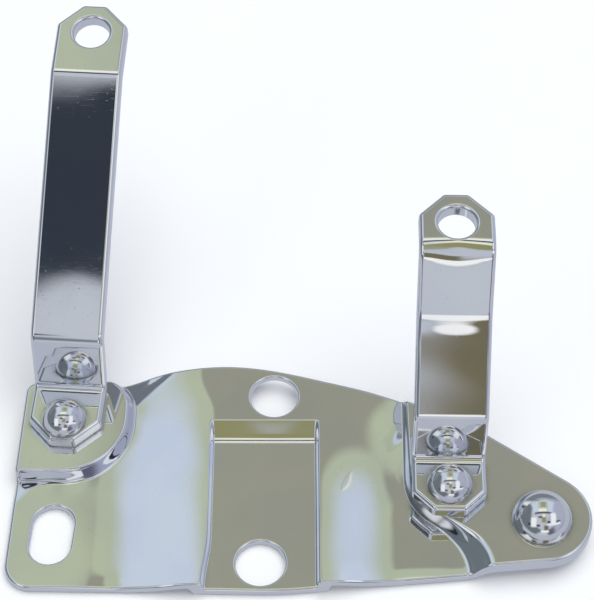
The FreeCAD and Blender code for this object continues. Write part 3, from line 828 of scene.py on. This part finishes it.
def chrome(name, bright, cool, rough_low, rough_high, wave_height, satin=None):
    """Plated steel that was polished by hand: a slow waviness and a fine peel in its surface, hairline
    polishing scratches, cloudy changes of tint and gloss, rims worn brighter with a painted highlight on
    them, seams dulled with grime and darkened with painted contact shade."""
    material = bpy.data.materials.new(name)
    material.use_nodes = True
    nodes, links = material.node_tree.nodes, material.node_tree.links
    shader = nodes["Principled BSDF"]
    shader.inputs["Metallic"].default_value = 1.0
    place = nodes.new("ShaderNodeTexCoord").outputs["Object"]

    def noise(scale, detail, vector=place):
        node = nodes.new("ShaderNodeTexNoise")
        node.inputs["Scale"].default_value = scale
        node.inputs["Detail"].default_value = detail
        links.new(vector, node.inputs["Vector"])
        return node.outputs["Fac"]

    def mapped(value, from_low, from_high, to_low, to_high):
        node = nodes.new("ShaderNodeMapRange")
        for socket, number in (("From Min", from_low), ("From Max", from_high),
                               ("To Min", to_low), ("To Max", to_high)):
            node.inputs[socket].default_value = number
        links.new(value, node.inputs["Value"])
        return node.outputs["Result"]

    def combine(operation, first, second):
        node = nodes.new("ShaderNodeMath")
        node.operation = operation
        for socket, value in zip(node.inputs, (first, second)):
            if isinstance(value, float):
                socket.default_value = value
            else:
                links.new(value, socket)
        return node.outputs[0]

    def scratches(turn, along, across, low):
        """Hairlines in one direction: noise drawn out along them, its peaks only."""
        mapping = nodes.new("ShaderNodeMapping")
        mapping.inputs["Rotation"].default_value = turn
        mapping.inputs["Scale"].default_value = (along, across, across)
        links.new(place, mapping.inputs["Vector"])
        return mapped(noise(1.0, 2.0, mapping.outputs["Vector"]), low, low + 0.08, 0.0, 1.0)

    def mark(attribute):
        node = nodes.new("ShaderNodeAttribute")
        node.attribute_name = attribute
        return node.outputs["Fac"]

    def mixed(amount, first, second):
        node = nodes.new("ShaderNodeMix")
        node.data_type = "RGBA"
        links.new(amount, node.inputs[0])
        for socket, value in ((node.inputs[6], first), (node.inputs[7], second)):
            if isinstance(value, tuple):
                socket.default_value = (*value, 1.0)
            else:
                links.new(value, socket)
        return node.outputs[2]

    clouds = noise(55.0, 3.0)
    specks = mapped(noise(1400.0, 3.0), 0.66, 0.74, 0.0, 1.0)
    hairlines = combine("MAXIMUM", scratches((0.3, 0.2, 0.5), 40.0, 5200.0, 0.64),
                        scratches((-0.4, 0.1, -0.9), 30.0, 4400.0, 0.66))
    edge, seam = mark("edge"), mark("seam")

    roughness = mapped(clouds, 0.3, 0.7, rough_low, rough_high)
    roughness = combine("ADD", roughness, combine("MULTIPLY", hairlines, 0.03))
    roughness = combine("ADD", roughness, combine("MULTIPLY", specks, 0.04))
    roughness = combine("ADD", roughness, combine("MULTIPLY", seam, 0.22))
    if satin is not None:
        roughness = combine("ADD", roughness, satin(place, nodes, links, mapped, combine))
    links.new(roughness, shader.inputs["Roughness"])

    colour = mixed(mapped(clouds, 0.35, 0.65, 0.0, 1.0), bright, cool)
    # wear with a painted highlight: every rounded rim is lighter towards its middle
    colour = mixed(combine("MULTIPLY", edge, 0.5), colour, WORN_AND_HIGHLIGHT)
    colour = mixed(combine("MULTIPLY", specks, 0.2), colour, SPECKED)
    # grime with painted contact shade: the chrome darkens along the seams where a foot or a rivet head sits
    colour = mixed(combine("MULTIPLY", seam, 0.75), colour, GRIME_AND_CONTACT_SHADE)
    links.new(colour, shader.inputs["Base Color"])

    height = combine("MULTIPLY", noise(38.0, 1.0), wave_height)
    height = combine("ADD", height, combine("MULTIPLY", noise(420.0, 2.0), PEEL))
    height = combine("SUBTRACT", height, combine("MULTIPLY", hairlines, HAIRLINE))
    height = combine("SUBTRACT", height, combine("MULTIPLY", specks, SPECK))
    bump = nodes.new("ShaderNodeBump")
    bump.inputs["Distance"].default_value = 1.0
    links.new(height, bump.inputs["Height"])
    links.new(bump.outputs["Normal"], shader.inputs["Normal"])
    return material


def channel_satin(place, nodes, links, mapped, combine):
    """The channel's floor was never polished after pressing, so it is a little duller."""
    parts = nodes.new("ShaderNodeSeparateXYZ")
    links.new(place, parts.inputs["Vector"])
    middle = (CHANNEL_LEFT + CHANNEL_RIGHT) / 2.0 * MM
    half = (CHANNEL_RIGHT - CHANNEL_LEFT) / 2.0 * MM
    side = nodes.new("ShaderNodeMath")
    side.operation = "ABSOLUTE"
    links.new(combine("SUBTRACT", parts.outputs["X"], middle), side.inputs[0])
    low = mapped(parts.outputs["Z"], (PLATE_T + 0.3) * MM, (PLATE_T + 0.1) * MM, 0.0, 0.09)
    return combine("MULTIPLY", low, mapped(side.outputs[0], half + MM, half, 0.0, 1.0))


def hump(s, centre, width):
    return np.exp(-((s - centre) / width) ** 2)


def left_shape(w, s):
    """How far the long arm's face stands off a plain bent bar: a slight crown."""
    return 0.03 * (1.0 - w * w) * hump(s, 60.0, 45.0)


def right_shape(w, s):
    """The short arm was bent by hand: its easy bend starts lower in the middle and leaves the run
    above it crowned, its sharp bend has a dent in the middle, and its long run is uneven."""
    crown = 0.34 * (1.0 - w * w) * eased(s, 48.5, 7.0) * (1.0 - eased(s, 55.5, 18.0))
    dent = -0.5 * (1.1 - np.sqrt(w * w + 0.03)) * hump(s, 73.0, 2.4)
    waves = 0.05 * np.sin(s / 2.9 + 1.1 * w) * hump(s, 42.0, 9.0)
    return crown + dent + waves


plate = make_plate()
left_arm = make_arm("long_arm", LEFT_ARM, left_shape)
right_arm = make_arm("short_arm", RIGHT_ARM, right_shape)
left_rivet = make_rivet("long_arm_rivet_head", rivet_at(LEFT_ARM), PAD_Z + BAR_T, PAD_Z - PLATE_T,
                        RIVET_D, RIVET_HEAD_D, RIVET_HEAD_H)
right_rivet = make_rivet("short_arm_rivet_head", rivet_at(RIGHT_ARM), TIP_Z + BAR_T, TIP_Z - TIP_T,
                         RIVET_D, RIVET_HEAD_D, RIVET_HEAD_H)
tip_rivet = make_rivet("tip_rivet_head", TIP_RIVET_AT, TIP_Z, TIP_Z - TIP_T,
                       TIP_RIVET_D, TIP_RIVET_HEAD_D, TIP_RIVET_HEAD_H)

plate_chrome = chrome("plate chrome", (0.86, 0.87, 0.86), (0.80, 0.82, 0.86), 0.02, 0.05, 0.00018,
                      channel_satin)
arm_chrome = chrome("arm chrome", (0.86, 0.87, 0.87), (0.80, 0.82, 0.86), 0.02, 0.05, 0.00008)
rivet_chrome = chrome("rivet chrome", (0.85, 0.86, 0.86), (0.80, 0.81, 0.84), 0.08, 0.14, 0.00003)

for piece, node, slot, material in (
        (plate, "base_plate", "plate_chrome", plate_chrome),
        (left_arm, "left_arm", "arm_chrome", arm_chrome),
        (right_arm, "right_arm", "arm_chrome", arm_chrome),
        (left_rivet, "left_arm_rivet", "rivet_chrome", rivet_chrome),
        (right_rivet, "right_arm_rivet", "rivet_chrome", rivet_chrome),
        (tip_rivet, "tip_rivet", "rivet_chrome", rivet_chrome)):
    piece.data.materials.append(material)
    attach(piece, "root")
    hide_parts(node)

# ---- camera
ELEVATION = math.radians(53.0)
AIM = Vector((0.00773, 0.0637, -0.002))
DISTANCE = 0.5131
camera_data = bpy.data.cameras.new("camera")
camera_data.lens = 108.0
camera_data.sensor_width = 36.0
camera = bpy.data.objects.new("camera", camera_data)
bpy.context.scene.collection.objects.link(camera)
camera.location = AIM + DISTANCE * Vector((0.0, -math.cos(ELEVATION), math.sin(ELEVATION)))
camera.rotation_euler = (math.pi / 2.0 - ELEVATION, 0.0, 0.0)
bpy.context.scene.camera = camera

# ---- studio
CENTRE = Vector((0.0, 0.02, 0.02))


def direction(side, swing):
    """Unit vector. Swing turns about X: 0 is level on the camera's side, 90 straight up, 180 level
    behind the part. Side leans it towards +X. Both in degrees."""
    a, t = math.radians(side), math.radians(swing)
    return Vector((math.sin(a), -math.cos(a) * math.cos(t), math.cos(a) * math.sin(t)))


def linear(colour):
    """A display colour out of 255 as linear light."""
    return tuple((c / 255.0) ** 2.2 for c in colour)


# The studio that the chrome mirrors: a pale room with broad soft panels and flags, each as
# (side, swing, half width, half height and soft edge in degrees, colour). Their places and tints
# were chosen one by one.
ROOM = (197, 202, 212)
PANELS = [
    (-70, 80, 20, 60, 12, (112, 120, 126)),    # a grey wall on the left
    (75, 90, 12, 70, 8, (104, 106, 124)),      # a grey wall on the right
    (0, 172, 60, 16, 10, (124, 130, 136)),     # a grey wall behind, low down
    (60, 100, 22, 40, 20, (176, 180, 200)),    # a cool fill on the right
    (0, 117, 30, 18, 10, (206, 217, 234)),     # a large pale softbox above and behind
    (1, 115, 12, 17, 6, (186, 194, 170)),      # a warm inner panel of it
    (2.5, 122, 6.5, 9, 3, (156, 156, 142)),    # a grey-green flag in front of it
    (-2, 99, 13, 5, 2, (250, 250, 240)),       # a strip light
    (0, 88.5, 30, 2.5, 2, (84, 86, 88)),       # a dark flag overhead
    (-12, 71.5, 7, 2.8, 0.8, (56, 62, 72)),    # a dark flag on the left
    (1, 61, 6, 8, 4, (150, 148, 108)),         # an olive card in the middle
    (1, 77, 4, 3, 2.5, (252, 250, 216)),       # a small warm softbox above it
    (10, 29, 5.5, 8, 5, (118, 112, 92)),       # a brown card low in front
    (5, 16, 12, 3, 3, (255, 255, 255)),        # a low strip light
    (40, 52, 26, 3, 1.5, (50, 52, 62)),        # a long dark flag low on the right
    (40, 42, 26, 3, 1.5, (246, 249, 255)),     # a strip light below it
    (-36, 38, 22, 3, 1.5, (50, 52, 62)),       # a long dark flag low on the left
    (38, 66, 7, 16, 7, (250, 252, 255)),       # a softbox on the right
    (-38, 50, 7, 14, 7, (250, 252, 255)),      # a softbox on the left
]


def make_world():
    world = bpy.data.worlds.new("studio")
    world.use_nodes = True
    nodes, links = world.node_tree.nodes, world.node_tree.links
    place = nodes.new("ShaderNodeTexCoord")

    def along(axis):
        dot = nodes.new("ShaderNodeVectorMath")
        dot.operation = "DOT_PRODUCT"
        dot.inputs[1].default_value = axis
        links.new(place.outputs["Generated"], dot.inputs[0])
        return dot.outputs["Value"]

    def math_node(operation, first, second=None):
        node = nodes.new("ShaderNodeMath")
        node.operation = operation
        links.new(first, node.inputs[0])
        if second is not None:
            links.new(second, node.inputs[1])
        return node.outputs[0]

    def fade(value, near, far):
        node = nodes.new("ShaderNodeMapRange")
        node.interpolation_type = "SMOOTHSTEP"
        node.inputs["From Min"].default_value = far
        node.inputs["From Max"].default_value = near
        links.new(value, node.inputs["Value"])
        return node.outputs["Result"]

    def reach(degrees):
        return math.sin(math.radians(min(degrees, 89.0)))

    def within(axis, half, soft):
        """1 within half degrees of the plane across the axis, 0 from soft degrees further."""
        return fade(math_node("ABSOLUTE", along(axis)), reach(half), reach(half + soft))

    colour = None
    for side, swing, half_w, half_h, soft, tint in PANELS:
        centre = direction(side, swing)
        up = direction(0.0, swing + 90.0)
        across = up.cross(centre)
        mask = math_node("MULTIPLY", within(across, half_w, soft), within(up, half_h, soft))
        # a panel is only on its own side of the room
        mask = math_node("MULTIPLY", mask, fade(along(centre), 0.02, 0.0))
        mix = nodes.new("ShaderNodeMix")
        mix.data_type = "RGBA"
        mix.inputs[6].default_value = (*linear(ROOM), 1.0)
        mix.inputs[7].default_value = (*linear(tint), 1.0)
        links.new(mask, mix.inputs[0])
        if colour is not None:
            links.new(colour, mix.inputs[6])
        colour = mix.outputs[2]
    links.new(colour, nodes["Background"].inputs["Color"])
    bpy.context.scene.world = world


def glow(name, colour):
    """A material that shines evenly."""
    material = bpy.data.materials.new(name)
    material.use_nodes = True
    nodes, links = material.node_tree.nodes, material.node_tree.links
    nodes.remove(nodes["Principled BSDF"])
    light = nodes.new("ShaderNodeEmission")
    light.inputs["Color"].default_value = (*linear(colour), 1.0)
    links.new(light.outputs["Emission"], nodes["Material Output"].inputs["Surface"])
    return material


def only_mirrored(obj):
    """Seen in the chrome and nowhere else."""
    obj.visible_camera = False
    obj.visible_diffuse = False
    obj.visible_shadow = False
    obj.visible_transmission = False
    obj.visible_volume_scatter = False


def flat_sheet(name, half, z):
    """A level square that reaches half its width each way."""
    mesh = bpy.data.meshes.new(name)
    corners = [(-half, -half, z), (half, -half, z), (half, half, z), (-half, half, z)]
    mesh.from_pydata(corners, [], [(0, 1, 2, 3)])
    result = bpy.data.objects.new(name, mesh)
    bpy.context.scene.collection.objects.link(result)
    return result


make_world()

FLOOR_Z = -0.0003
MIRRORED_FLOOR_Z = -0.0006
floor = flat_sheet("floor", 4.0, FLOOR_Z)
floor_paint = bpy.data.materials.new("floor")
floor_paint.use_nodes = True
paint = floor_paint.node_tree.nodes["Principled BSDF"]
paint.inputs["Base Color"].default_value = (0.9, 0.9, 0.9, 1.0)
paint.inputs["Roughness"].default_value = 0.9
floor.data.materials.append(floor_paint)
floor.visible_glossy = False

# what the chrome mirrors in place of the floor
mirrored_floor = flat_sheet("mirrored_floor", 2.0, MIRRORED_FLOOR_Z)
mirrored_floor.data.materials.append(glow("mirrored floor", (186, 190, 204)))
only_mirrored(mirrored_floor)

sun = bpy.data.lights.new("key", "SUN")
sun.energy = 2.0
sun.angle = math.radians(60.0)
sun_object = bpy.data.objects.new("key", sun)
sun_object.rotation_euler = (math.radians(-12.0), math.radians(10.0), 0.0)
sun_object.visible_glossy = False
bpy.context.scene.collection.objects.link(sun_object)

bpy.context.scene.view_settings.view_transform = "Standard"
